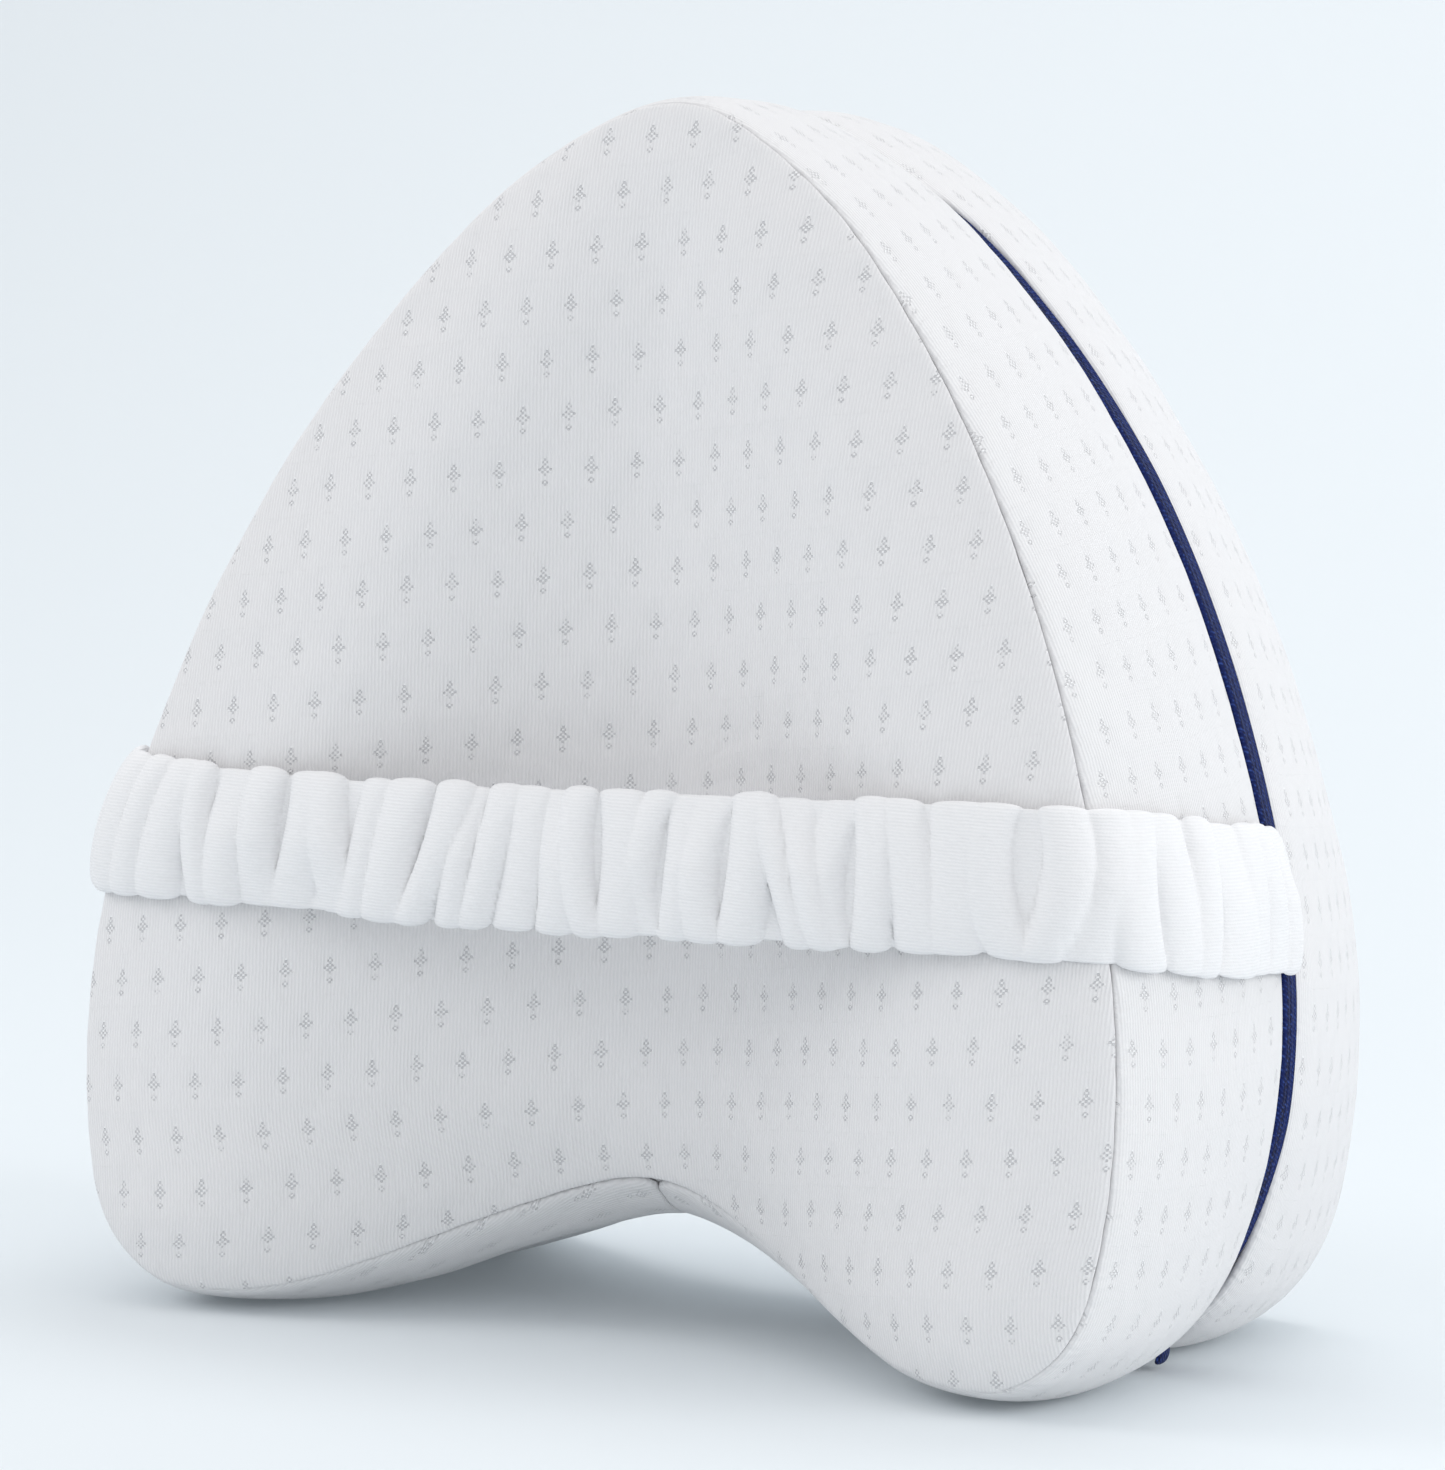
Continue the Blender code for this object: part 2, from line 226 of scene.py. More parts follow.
def writeWeave(mesh, across, along):
    layer = mesh.uv_layers.new(name="weave")
    corners = np.empty(len(mesh.loops), dtype=np.int32)
    mesh.loops.foreach_get("vertex_index", corners)
    layer.data.foreach_set("uv", np.stack([across, along], axis=1)[corners].ravel())


def writeNumber(mesh, name, values):
    layer = mesh.attributes.new(name, "FLOAT", "POINT")
    layer.data.foreach_set("value", values)


def distances(points, targets):
    tree = KDTree(len(targets))
    for i, target in enumerate(targets):
        tree.insert(target, i)
    tree.balance()
    return np.array([tree.find(point)[2] for point in points])


def ripple(points, pitch, seed):
    return np.array([noise.noise(Vector(point) / pitch + Vector((seed, 0.0, 0.0))) for point in points])


# the pillow as a whole: where its outline runs, and how far round a point lies
middleHeight = 104 * mm
gussetTree = cadTree("gusset_front")
pillowTree = cadTree("pillow")


def outlineReach():
    angles = np.radians(np.linspace(-89.0, 269.0, 717))
    centre = Vector((0.0, -20 * mm, middleHeight))
    reach = []
    for angle in angles:
        heading = Vector((math.cos(angle), 0.0, math.sin(angle)))
        hit = gussetTree.ray_cast(centre, heading)
        reach.append(hit[3] if hit[0] else np.nan)
    reach = np.array(reach)
    known = np.isfinite(reach)
    reach = np.interp(angles, angles[known], reach[known])
    path = np.stack([reach * np.cos(angles), reach * np.sin(angles)], axis=1)
    length = np.concatenate([[0.0], np.cumsum(np.linalg.norm(np.diff(path, axis=0), axis=1))])
    return angles, length


outlineAngles, outlineLengths = outlineReach()


def wayRound(points):
    angle = np.arctan2(points[:, 2] - middleHeight, points[:, 0])
    angle = np.where(angle < -0.5 * math.pi, angle + 2.0 * math.pi, angle)
    return np.interp(angle, outlineAngles, outlineLengths)


def faceLengths():
    columns = np.linspace(-116, 116, 117) * mm
    heights = np.linspace(0, 240, 61) * mm
    depths = np.full((len(heights), len(columns)), np.nan)
    for row, height in enumerate(heights):
        for i, column in enumerate(columns):
            hit = pillowTree.ray_cast(Vector((column, -0.2, height)), Vector((0.0, 1.0, 0.0)))
            if hit[0] and hit[1].y < -0.6 and hit[0].y < -28 * mm:
                depths[row, i] = hit[0].y
    for i in range(len(columns)):
        known = np.isfinite(depths[:, i])
        if known.sum() > 1:
            depths[:, i] = np.interp(heights, heights[known], depths[known, i])
    for row in range(len(heights)):
        known = np.isfinite(depths[row])
        depths[row] = np.interp(columns, columns[known], depths[row, known])
    slope = np.clip(np.gradient(depths, columns, axis=1), -1.2, 1.2)
    length = np.cumsum(np.sqrt(1 + slope**2), axis=1) * (columns[1] - columns[0])
    return columns, heights, length - length[:, len(columns) // 2, None]


faceColumns, faceHeights, faceTable = faceLengths()


def faceAcross(points):
    column = np.interp(points[:, 0], faceColumns, np.arange(len(faceColumns)))
    row = np.interp(points[:, 2], faceHeights, np.arange(len(faceHeights)))
    c = np.clip(column.astype(int), 0, len(faceColumns) - 2)
    r = np.clip(row.astype(int), 0, len(faceHeights) - 2)
    s, t = column - c, row - r
    low = faceTable[r, c] * (1 - s) + faceTable[r, c + 1] * s
    high = faceTable[r + 1, c] * (1 - s) + faceTable[r + 1, c + 1] * s
    return low * (1 - t) + high * t


print("frame read")

# white knit with small dimpled dots in staggered rows; painted shade in the dot pits and along the seams,
# painted highlight on the dot tips
knit = {
    "colour": (0.84, 0.835, 0.84, 1.0),
    "valley": (0.54, 0.535, 0.55, 1.0),
    # colour of the painted shade inside the dot pits
    "pitAndShade": (0.36, 0.37, 0.40, 1.0),
    # colour of the painted highlight on the raised dot tips
    "tipAndHighlight": (0.93, 0.93, 0.94, 1.0),
    "walePitch": 0.70,
    "coursePitch": 0.62,
    "dotColumn": 8.7,
    "dotRow": 10.2,
    "dotWide": 1.6,
    "dotTall": 2.15,
    "dimple": 0.30,
    "barTall": 0.72,
    "postWide": 0.62,
    "footWide": 0.62,
    "footTall": 0.55,
    "footDrop": 2.45,
    "pitAcross": 1.02,
    "pitAlong": 0.94,
    "pitShade": 0.38,
    "pitShadeStrips": 0.15,
    # strength of the painted highlight on the dot tips
    "tipHighlight": 0.85,
    "broadScale": 0.055,
    "crookedScale": 0.6,
    # reach of the painted shade along the seam groove, in mm
    "seamShadeReach": 1.3,
    "dragReach": 9.0,
    "dragPitch": 2.3,
}


def knitFinish(name, look, dragLines):
    cloth = {"Roughness": 0.88, "Sheen Weight": 0.12, "Sheen Roughness": 0.5, "Specular IOR Level": 0.25}
    finish = Finish(name, cloth)
    across, along = finish.weave()
    broad = finish.cloud(finish.spot(across, along), look["broadScale"])
    crooked = finish.cloud(finish.spot(across, along), look["crookedScale"]) - 0.5
    acrossBent = across + crooked * 0.35
    wale = acrossBent.wave(look["walePitch"])
    halfStep = (across / look["walePitch"]).floor() * (0.5 * look["coursePitch"])
    course = (along + halfStep).wave(look["coursePitch"])
    row = (along + (broad - 0.5) * 1.6) / look["dotRow"]
    rowNumber = row.floor()
    inRow = (row - rowNumber - 0.5) * look["dotRow"]
    column = across / look["dotColumn"] + (rowNumber * 0.5).part()
    inColumn = (column.part() - 0.5) * look["dotColumn"]
    bar = (1.0 - (inColumn / look["dotWide"]).power(2.0) - ((inRow + 0.1) / look["barTall"]).power(2.0)) * 3.0
    postRow = (inRow - 0.5) / look["dotTall"]
    post = (1.0 - (inColumn / look["postWide"]).power(2.0) - postRow.power(2.0)) * 3.0
    footRow = (inRow + look["footDrop"]) / look["footTall"]
    foot = (1.0 - (inColumn / look["footWide"]).power(2.0) - footRow.power(2.0)) * 3.0
    motif = bar.math("MAXIMUM", post).math("MAXIMUM", foot).clamped()
    latticeAcross = (inColumn * (2 * math.pi / look["pitAcross"])).math("COSINE")
    latticeAlong = (inRow * (2 * math.pi / look["pitAlong"])).math("COSINE")
    lattice = latticeAcross * latticeAlong
    # the dot pits: their mask sets the pit depth in the bump and the painted shade in the pits
    pitAndShade = ((lattice + crooked * 2.4 - 0.1) * 2.2).clamped() * motif
    # the raised dot tips: their mask lifts the tips in the bump and paints a highlight on them
    tipAndHighlight = ((crooked * 2.4 - lattice - 0.1) * 2.2).clamped() * motif
    hollow = inColumn * inColumn * 0.30 + inRow * inRow * 0.085
    dimple = (hollow * -1.0).math("EXPONENT")
    loops = 1.0 - wale * (0.72 + 0.28 * course)
    shade = finish.blend(loops * 0.30, look["colour"], look["valley"])
    pitShade = look["pitShadeStrips"] if dragLines else look["pitShade"]
    # painted shade in the dot pits
    shade = finish.blend(pitAndShade * pitShade, shade, look["pitAndShade"])
    # painted highlight on the dot tips
    shade = finish.blend(tipAndHighlight * look["tipHighlight"], shade, look["tipAndHighlight"])
    # painted shade in the seam groove: the knit turns darker close to the seam
    seamShade = (1.0 - finish.attribute("toSeam") / look["seamShadeReach"]).clamped()
    shade = finish.blend(seamShade * seamShade * 0.22, shade, look["valley"])
    finish.colour(shade)
    finish.rough(0.84 + loops * 0.1)
    height = loops * -0.075 - dimple * look["dimple"] - pitAndShade * 0.13 + tipAndHighlight * 0.07 + (broad - 0.5) * 1.3
    if dragLines:
        nearSeam = (1.0 - finish.attribute("toSeam") / look["dragReach"]).clamped()
        pull = (along + across * 0.30 + crooked * 1.6).wave(look["dragPitch"]) * nearSeam * nearSeam
        height = height + pull * 0.16
    finish.bump(height)
    return finish.material


knitFace = knitFinish("knitFace", knit, False)
knitStrip = knitFinish("knitStrip", knit, True)

# the filled body: both faces puffed a little between their seams
body = {
    "pressure": 4.0,
    "cap": 1.3 * mm,
    "groove": 0.45 * mm,
    "rowTilt": 0.13,
    "frames": 20,
    "smoothings": 12,
    "heldReach": 1.2 * mm,
    "grooveReach": 1.6 * mm,
    "fill": 0.95,
}


def puff(item, held, look):
    group = item.vertex_groups.new(name="held")
    group.add([int(i) for i in np.flatnonzero(held)], 1.0, "REPLACE")
    cloth = item.modifiers.new("cloth", "CLOTH")
    cloth.settings.vertex_group_mass = "held"
    cloth.settings.use_pressure = True
    cloth.settings.uniform_pressure_force = look["pressure"]
    cloth.settings.effector_weights.gravity = 0.0
    start = pointsOf(item.data)
    for step in range(look["frames"]):
        scene.frame_set(step + 1)
    graph = bpy.context.evaluated_depsgraph_get()
    blown = item.evaluated_get(graph)
    move = pointsOf(blown.data) - start
    item.modifiers.clear()
    item.vertex_groups.clear()
    scene.frame_set(1)
    edges = np.array([edge.vertices[:] for edge in item.data.edges])
    count = np.bincount(edges.ravel(), minlength=len(start))[:, None]
    for smoothing in range(look["smoothings"]):
        total = np.zeros_like(move)
        np.add.at(total, edges[:, 0], move[edges[:, 1]])
        np.add.at(total, edges[:, 1], move[edges[:, 0]])
        move = np.where(held[:, None], 0.0, 0.5 * move + 0.5 * total / count)
    length = np.linalg.norm(move, axis=1)
    scale = np.minimum(1.0, look["cap"] / np.maximum(length, 1e-9))
    movePoints(item.data, start + move * scale[:, None])
    print("body puffed by at most", round(float(length.max()) / mm, 2), "mm before the cap")


def makeBody():
    builder = cadBuilder("pillow")
    item = placed("pillowBody", meshOf(builder, "pillowBody"))
    strips = (gussetTree, cadTree("gusset_back"))
    subdivide(item, 1)
    points = pointsOf(item.data)
    gap = np.array([min(tree.find_nearest(point)[3] for tree in strips) for point in points])
    held = gap < body["heldReach"]
    puff(item, held, body)
    subdivide(item, 1)
    points = pointsOf(item.data)
    gap = np.array([min(tree.find_nearest(point)[3] for tree in strips) for point in points])
    sink = np.clip(1.0 - gap / body["grooveReach"], 0.0, 1.0) * body["groove"]
    points[:, 1] -= np.sign(points[:, 1]) * sink
    movePoints(item.data, points)
    across = faceAcross(points)
    writeWeave(item.data, across, points[:, 2] - body["rowTilt"] * across * np.sign(-points[:, 1]))
    writeNumber(item.data, "toSeam", gap / mm)
    item.data.materials.clear()
    item.data.materials.append(knitFace)
    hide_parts("pillow")
    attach(item, "root")
    return item


pillowBody = makeBody()
print("body made", len(pillowBody.data.polygons))

# the two gusset strips, with their edges rolled into the seams
strip = {
    "roll": 1.5 * mm,
    "thickness": 0.7 * mm,
    "unevenness": 0.35 * mm,
    "unevenPitch": 17 * mm,
    "centreDepth": 34 * mm,
    "sideNormal": 0.93,
    "joinReach": 0.35 * mm,
    "calmReach": 6 * mm,
    "gatherReach": 1.2 * mm,
    "gather": 0.35,
    "flatWidth": 0.074,
    "flatLength": 0.690,
}


def makeStrip(node, name, side):
    builder = cadBuilder(node)
    centre = Vector((0.0, side * strip["centreDepth"], middleHeight))
    inner = []
    for face in builder.faces:
        middle = face.calc_center_median()
        away = middle - centre
        facesIn = face.normal.dot(away) < 0.0
        facesAside = abs(face.normal.y) > strip["sideNormal"]
        atArchJoin = abs(middle.x) < strip["joinReach"] and middle.z < middleHeight
        if facesIn or facesAside or atArchJoin:
            inner.append(face)
    bmesh.ops.delete(builder, geom=inner, context="FACES")
    edges = [edge for edge in builder.edges if edge.is_boundary]
    normals = {vert: vert.normal.copy() for edge in edges for vert in edge.verts}
    extruded = bmesh.ops.extrude_edge_only(builder, edges=edges)
    rolled = [item for item in extruded["geom"] if isinstance(item, bmesh.types.BMVert)]
    twins = KDTree(len(normals))
    order = list(normals)
    for i, vert in enumerate(order):
        twins.insert(vert.co, i)
    twins.balance()
    seamLine = []
    for vert in rolled:
        source = order[twins.find(vert.co)[1]]
        seamLine.append(vert.co.copy())
        vert.co -= normals[source] * strip["roll"]
    bmesh.ops.recalc_face_normals(builder, faces=builder.faces)
    item = placed(name, meshOf(builder, name))
    subdivide(item, 2)
    points = pointsOf(item.data)
    normals = normalsOf(item.data)
    outward = points - np.array(centre)
    if (normals * outward).sum() < 0:
        item.data.flip_normals()
        normals = -normals
    toSeam = distances([Vector(point) for point in points], seamLine)
    calm = np.clip(toSeam / strip["calmReach"], 0.0, 1.0)
    floorSide = np.clip(points[:, 2] / strip["calmReach"], 0.0, 1.0)
    shift = ripple(points, strip["unevenPitch"], 3.0 + side) * strip["unevenness"] * calm * floorSide
    points = points + normals * shift[:, None]
    points[:, 2] = np.maximum(points[:, 2], 0.0)
    atJoin = (points[:, 2] < middleHeight) & (np.abs(points[:, 0]) < strip["gatherReach"])
    points[atJoin, 0] *= strip["gather"]
    movePoints(item.data, points)
    depth = np.abs(points[:, 1])
    writeWeave(item.data, depth * 1.03 + side * 1.7 * mm, wayRound(points) + 0.06 * depth)
    writeNumber(item.data, "toSeam", toSeam / mm)
    wall = item.modifiers.new("wall", "SOLIDIFY")
    wall.thickness = strip["thickness"]
    wall.offset = -1.0
    settle(item)
    item.data.materials.clear()
    item.data.materials.append(knitStrip)
    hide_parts(node)
    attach(item, "root")
    return item


gussetFront = makeStrip("gusset_front", "gussetFront", -1)
gussetBack = makeStrip("gusset_back", "gussetBack", 1)
print("strips made", len(gussetFront.data.polygons))

# navy zip tape: woven ribs with painted shade in their grooves, lighter threads, and its loose end
tape = {
    "colour": (0.005, 0.015, 0.110, 1.0),
    "thread": (0.040, 0.085, 0.330, 1.0),
    # near-black colour of the painted shade in the grooves between the ribs
    "deep": (0.002, 0.004, 0.030, 1.0),
    "stand": 1.3 * mm,
    "standFrom": 30 * mm,
    "standRise": 20 * mm,
    "standTo": 210 * mm,
    "standFall": 40 * mm,
}


def tapeFinish():
    finish = Finish("navyTape", {"Roughness": 0.7, "Specular IOR Level": 0.15})
    across, along = finish.weave()
    twill = (along + across * 0.8).wave(0.9)
    slub = finish.cloud(finish.spot(across * 2.2, along * 0.9), 1.3, 3.0)
    speck = ((slub - 0.47) * 6.0).clamped() * twill
    # painted shade between the ribs: the ribs are colour only, with no bump
    ribShade = across.wave(1.6)
    shade = finish.blend(ribShade * 0.85, tape["deep"], tape["colour"])
    shade = finish.blend(speck * 0.85, shade, tape["thread"])
    finish.colour(shade)
    finish.rough(0.5 + twill * 0.2)
    finish.bump(twill * 0.10 + slub * 0.12)
    return finish.material


navyTape = tapeFinish()


def makeTape(node, name, levels):
    builder = cadBuilder(node)
    item = placed(name, meshOf(builder, name))
    subdivide(item, levels)
    points = pointsOf(item.data)
    if node == "zip_tape":
        outward = points - np.array((0.0, 0.0, middleHeight))
        outward[:, 1] = 0.0
        outward /= np.linalg.norm(outward, axis=1)[:, None]
        raised = np.clip((points[:, 2] - tape["standFrom"]) / tape["standRise"], 0.0, 1.0)
        raised *= np.clip((tape["standTo"] - points[:, 2]) / tape["standFall"], 0.0, 1.0)
        points = points + outward * (raised * tape["stand"])[:, None]
        movePoints(item.data, points)
    writeWeave(item.data, points[:, 1], wayRound(points))
    item.data.materials.clear()
    item.data.materials.append(navyTape)
    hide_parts(node)
    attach(item, "root")
    return item


zipTape = makeTape("zip_tape", "zipTape", 2)
zipTail = makeTape("zip_tail", "zipTail", 3)
print("zip made")

# gathered strap: a flat tube of knit drawn up over elastic
strap = {
    "seed": 11,
    "steps": 760,
    "rows": 20,
    "base": 1.7 * mm,
    "pleat": 4.7 * mm,
    "pitch": 6.4 * mm,
    "loosePitch": 9.5 * mm,
    "looseFrom": 0.30,
    "plainFrom": 0.955,
    "scallop": 1.5 * mm,
    "endRound": 3.0 * mm,
    "endReach": 8 * mm,
    "foldFade": 9 * mm,
    "blurSteps": 95,
    "heights": (86.0 * mm, 94.5 * mm, 103.0 * mm),
    "flatWidth": 0.032,
    "flatLength": 0.430,
}
sleeve = {
    "colour": (0.89, 0.89, 0.90, 1.0),
    "valley": (0.62, 0.62, 0.635, 1.0),
    "pitch": 0.62,
}


def sleeveFinish():
    cloth = {"Roughness": 0.9, "Sheen Weight": 0.15, "Sheen Roughness": 0.5, "Specular IOR Level": 0.2}
    finish = Finish("sleeveKnit", cloth)
    across, along = finish.weave()
    uneven = finish.cloud(finish.spot(across, along), 0.5) - 0.5
    course = (along + uneven * 0.3).wave(sleeve["pitch"])
    halfStep = (along / sleeve["pitch"]).floor() * (0.5 * sleeve["pitch"])
    stitch = (across + halfStep).wave(sleeve["pitch"])
    loops = 1.0 - course * (0.6 + 0.4 * stitch)
    finish.colour(finish.blend(loops * 0.26, sleeve["colour"], sleeve["valley"]))
    finish.bump(loops * -0.07 + uneven * 0.15)
    return finish.material


def strapPath():
    tree = cadTree("strap")
    angles = np.radians(np.linspace(8.0, -188.0, 1569))
    heights = strap["heights"]
    rows, kept = [], []
    for angle in angles:
        heading = Vector((math.cos(angle), math.sin(angle), 0.0))
        hits = [tree.ray_cast(Vector((0.0, 0.0, height)), heading)[0] for height in heights]
        if all(hits):
            rows.append([(hit.x, hit.y) for hit in hits])
            kept.append(angle)
    path = np.array(rows)
    blur = np.hanning(strap["blurSteps"])
    blur /= blur.sum()
    half = strap["blurSteps"] // 2
    for row in range(3):
        for axis in (0, 1):
            line = path[:, row, axis]
            before = 2 * line[0] - line[half:0:-1]
            after = 2 * line[-1] - line[-2 : -half - 2 : -1]
            path[:, row, axis] = np.convolve(np.concatenate([before, line, after]), blur, "valid")
    length = np.concatenate([[0.0], np.cumsum(np.linalg.norm(np.diff(path[:, 1], axis=0), axis=1))])
    points = pointsOf(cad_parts["strap"].data)
    turn = np.arctan2(points[:, 1], points[:, 0])
    turn = np.where(turn > 0.5, turn - 2 * math.pi, turn)
    at = np.interp(-turn, -np.array(kept), length)
    edges = np.linspace(0.0, length[-1], 61)
    bins = np.clip(np.digitize(at, edges) - 1, 0, 59)
    low = np.array([points[bins == i, 2].min() for i in range(60)])
    high = np.array([points[bins == i, 2].max() for i in range(60)])
    centres = 0.5 * (edges[1:] + edges[:-1])
    kernel = np.ones(7) / 7
    low = np.convolve(np.pad(low, 3, "edge"), kernel, "valid")
    high = np.convolve(np.pad(high, 3, "edge"), kernel, "valid")
    return heights, path, length, centres, low, high


def pleatList(total):
    dice = random.Random(strap["seed"])
    pleats = []
    place = 3 * mm
    while place < total * strap["plainFrom"]:
        loose = place < total * strap["looseFrom"]
        pitch = strap["loosePitch"] if loose else strap["pitch"]
        width = pitch * dice.uniform(0.78, 1.28)
        lean = dice.uniform(-0.22, 0.22) * pitch
        if dice.random() < 0.42:
            lean *= 3.4
        bow = dice.uniform(-0.18, 0.18) * pitch
        tall = dice.uniform(0.62, 1.0) * (0.78 if loose else 1.0)
        fade = dice.choice((0.0, 0.0, 0.0, -1.0, 1.0))
        pleats.append((place + 0.5 * width, 0.56 * width, lean, bow, tall, fade))
        place += width
    return pleats


def pleatHeight(at, share, pleats):
    height = np.zeros(np.broadcast(at, share).shape)
    up = 2.0 * share - 1.0
    for centre, half, lean, bow, tall, fade in pleats:
        middle = centre + lean * up + bow * (1.0 - up * up) * 2.0
        off = np.clip(np.abs(at - middle) / (half * 1.08), 0.0, 1.0)
        dome = np.sqrt(1.0 - off**2) * tall
        reach = 1.0 - 0.75 * np.clip(fade * up, 0.0, 1.0)
        height = np.maximum(height, dome * reach)
    return height


def makeStrap():
    heights, path, length, centres, low, high = strapPath()
    total = length[-1]
    steps, rows = strap["steps"], strap["rows"]
    builder = bmesh.new()
    bmesh.ops.create_grid(builder, x_segments=steps, y_segments=2 * rows, size=1.0)
    grid = np.array([vert.co for vert in builder.verts])
    at = (grid[:, 0] * 0.5 + 0.5) * total
    turn = grid[:, 1] * 0.5 + 0.5
    front = turn <= 0.5
    share = np.where(front, 2.0 * turn, 2.0 - 2.0 * turn)
    share = 0.5 - 0.5 * np.cos(math.pi * share)
    pleats = pleatList(total)
    fold = pleatHeight(at, share, pleats)
    ends = np.clip(np.minimum(at, total - at) / strap["foldFade"], 0.0, 1.0)
    fold *= ends
    edgeFold = pleatHeight(at, np.where(share > 0.5, 1.0, 0.0), pleats) * ends
    bottom = np.interp(at, centres, low) + 0.6 * mm - (edgeFold - 0.5) * strap["scallop"]
    top = np.interp(at, centres, high) - 0.6 * mm + (edgeFold - 0.5) * strap["scallop"]
    nearEnd = 1.0 - np.clip(np.minimum(at, total - at) / strap["endReach"], 0.0, 1.0)
    rounding = (1.0 - np.sqrt(1.0 - nearEnd**2)) * strap["endRound"]
    bottom = bottom + rounding
    top = top - rounding
    height = bottom + (top - bottom) * share
    base = np.stack([[np.interp(at, length, path[:, row, axis]) for axis in (0, 1)] for row in range(3)])
    weight = np.clip((height - heights[0]) / (heights[2] - heights[0]), -0.35, 1.35)
    spot = base[0] * (1 - weight) + base[2] * weight
    ahead = np.stack([np.interp(at + mm, length, path[:, 1, axis]) for axis in (0, 1)])
    behind = np.stack([np.interp(at - mm, length, path[:, 1, axis]) for axis in (0, 1)])
    heading = ahead - behind
    normal = np.stack([heading[1], -heading[0]])
    normal /= np.maximum(np.linalg.norm(normal, axis=0), 1e-9)
    normal *= np.sign((normal * base[1]).sum(0))
    rounded = np.sin(math.pi * np.clip(share, 0.0, 1.0)) ** 0.45
    outer = 0.25 * mm + (strap["base"] + strap["pleat"] * fold) * (0.22 + 0.78 * rounded)
    inner = 0.25 * mm + 0.12 * mm * (1.0 - rounded)
    edge = 0.25 * mm + (strap["base"] + strap["pleat"] * fold) * 0.22
    back = edge + (inner - edge) * np.minimum(1.0, rounded * 1.6)
    offset = np.where(front, outer, back)
    spot = spot + normal * offset
    across = np.stack([spot[0], spot[1], height], axis=1)
    for vert, point in zip(builder.verts, across):
        vert.co = point
    bmesh.ops.remove_doubles(builder, verts=builder.verts, dist=0.01 * mm)
    bmesh.ops.holes_fill(builder, edges=[edge for edge in builder.edges if edge.is_boundary], sides=0)
    bmesh.ops.recalc_face_normals(builder, faces=builder.faces)
    item = placed("strapSleeve", meshOf(builder, "strapSleeve"))
    points = pointsOf(item.data)
    turned = np.arctan2(points[:, 1], points[:, 0])
    turned = np.where(turned > 0.5, turned - 2 * math.pi, turned)
    pathTurn = np.arctan2(path[:, 1, 1], path[:, 1, 0])
    pathTurn = np.where(pathTurn > 0.5, pathTurn - 2 * math.pi, pathTurn)
    order = np.argsort(pathTurn)
    writeWeave(item.data, np.interp(turned, pathTurn[order], length[order]), points[:, 2])
    item.data.materials.append(sleeveFinish())
    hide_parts("strap")
    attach(item, "root")
    return item


strapSleeve = makeStrap()
print("strap made", len(strapSleeve.data.polygons))

# pale sweep, soft lights and the camera
studio = {
    "floor": (0.75, 0.79, 0.815, 1.0),
    "floorGrain": (0.73, 0.78, 0.805, 1.0),
    "glowColour": (0.78, 0.88, 0.95, 1.0),
    "halfWidth": 3.0,
    "length": 8.0,
    "front": 3.0,
    "glow": 0.06,
    "sky": (0.93, 0.935, 0.95, 1.0),
    "skyStrength": 0.81,
    "bend": 1.5,
    "bendStart": 0.5,
    "lights": (
        ("leftSoft", (-1.05, -0.75, 0.80), 0.8, (0.0, 0.0, 0.11), 3.5),
        ("rightSoft", (1.10, 0.20, 0.45), 0.7, (0.0, 0.0, 0.11), 3.6),
        ("topSoft", (0.0, 0.10, 1.5), 1.4, (0.0, 0.0, 0.11), 2.4),
        ("frontSoft", (0.85, -1.30, 0.60), 0.9, (0.0, 0.0, 0.11), 1.6),
        ("wallSoft", (0.0, 0.60, 1.9), 1.2, (0.0, 1.9, 0.6), 8.0),
    ),
}


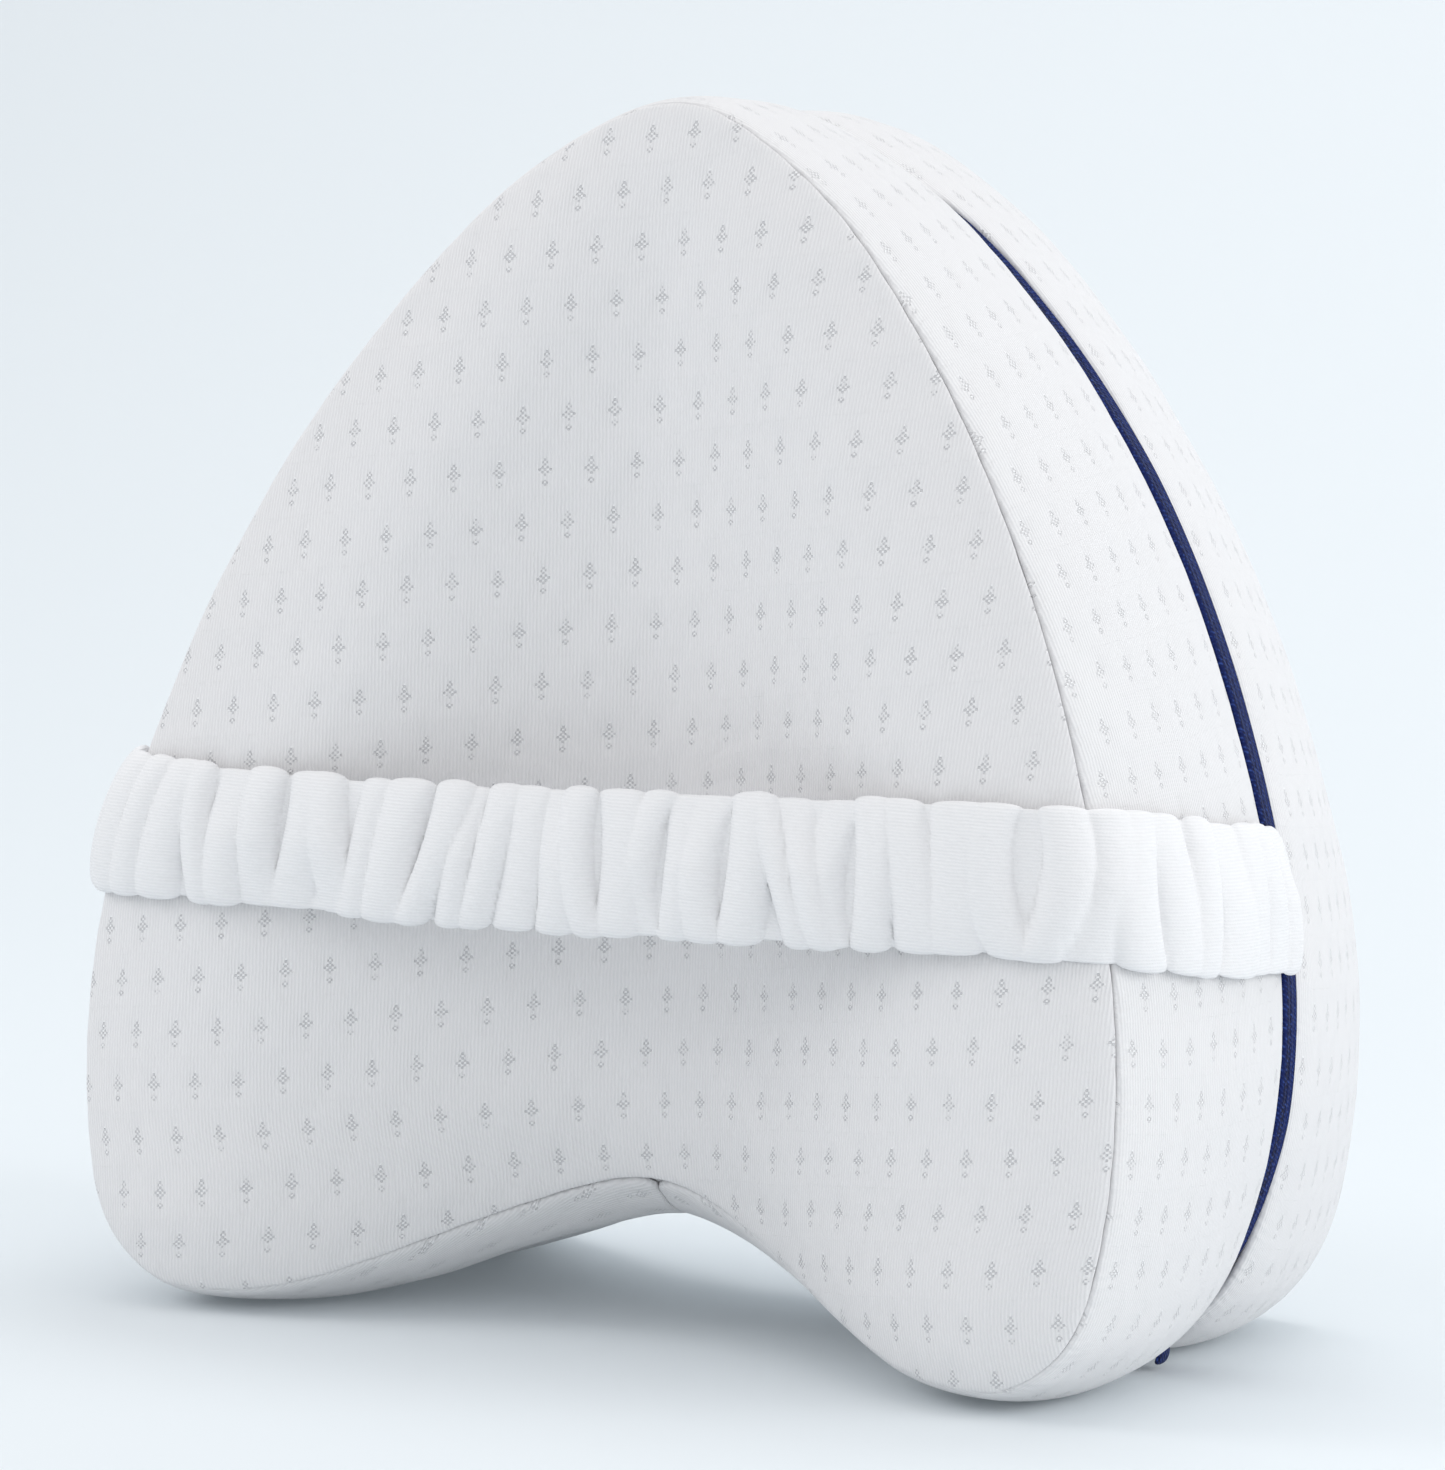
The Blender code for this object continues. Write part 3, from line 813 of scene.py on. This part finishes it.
def makeSweep():
    builder = bmesh.new()
    bmesh.ops.create_grid(builder, x_segments=2, y_segments=120, size=studio["halfWidth"])
    bend, start = studio["bend"], studio["bendStart"]
    arc = bend * 0.5 * math.pi
    for vert in builder.verts:
        run = (vert.co.y / (2.0 * studio["halfWidth"]) + 0.5) * studio["length"] - studio["front"]
        turned = min(max(run - start, 0.0), arc) / bend
        beyond = max(run - start - arc, 0.0)
        vert.co.y = min(run, start) + bend * math.sin(turned)
        vert.co.z = bend * (1.0 - math.cos(turned)) + beyond
    item = placed("studioSweep", meshOf(builder, "studioSweep"))
    paper = {"Roughness": 0.9, "Specular IOR Level": 0.1}
    glow = {"Emission Strength": studio["glow"], "Emission Color": studio["glowColour"]}
    finish = Finish("paleSweep", paper | glow)
    where = finish.node("ShaderNodeTexCoord", {}, {}, 3)
    grain = finish.cloud(where, 2.0, 2.0)
    finish.colour(finish.blend(grain * 0.04, studio["floor"], studio["floorGrain"]))
    item.data.materials.append(finish.material)


def makeLights():
    for name, spot, width, target, power in studio["lights"]:
        lamp = bpy.data.lights.new(name, "AREA")
        lamp.shape = "DISK"
        lamp.size = width
        lamp.energy = power
        item = bpy.data.objects.new(name, lamp)
        item.location = spot
        aim = Vector(target) - Vector(spot)
        item.rotation_euler = aim.to_track_quat("-Z", "Y").to_euler()
        scene.collection.objects.link(item)
    world = bpy.data.worlds.new("studioSky")
    world.use_nodes = True
    sky = world.node_tree.nodes["Background"]
    sky.inputs["Color"].default_value = studio["sky"]
    sky.inputs["Strength"].default_value = studio["skyStrength"]
    scene.world = world
    scene.view_settings.view_transform = "Standard"


view = {
    "turn": 24.0,
    "rise": 4.0,
    "distance": 1.1,
    "aimHeight": 0.1144,
    "lens": 137.27,
    "roll": 3.03,
    "shift": (-0.0186, 0.0009),
}


def makeCamera():
    turn, rise, roll = (math.radians(view[key]) for key in ("turn", "rise", "roll"))
    away = Vector((math.sin(turn) * math.cos(rise), -math.cos(turn) * math.cos(rise), math.sin(rise)))
    right = Vector((math.cos(turn), math.sin(turn), 0.0))
    up = away.cross(right)
    rightRolled = right * math.cos(roll) + up * math.sin(roll)
    upRolled = up * math.cos(roll) - right * math.sin(roll)
    lens = bpy.data.cameras.new("photoView")
    lens.lens = view["lens"]
    lens.shift_x, lens.shift_y = view["shift"]
    item = bpy.data.objects.new("photoView", lens)
    place = Vector((0.0, 0.0, view["aimHeight"])) + away * view["distance"]
    axes = Matrix((rightRolled, upRolled, away)).transposed().to_4x4()
    item.matrix_world = Matrix.Translation(place) @ axes
    scene.collection.objects.link(item)
    scene.camera = item


makeSweep()
makeLights()
makeCamera()
print("studio made")
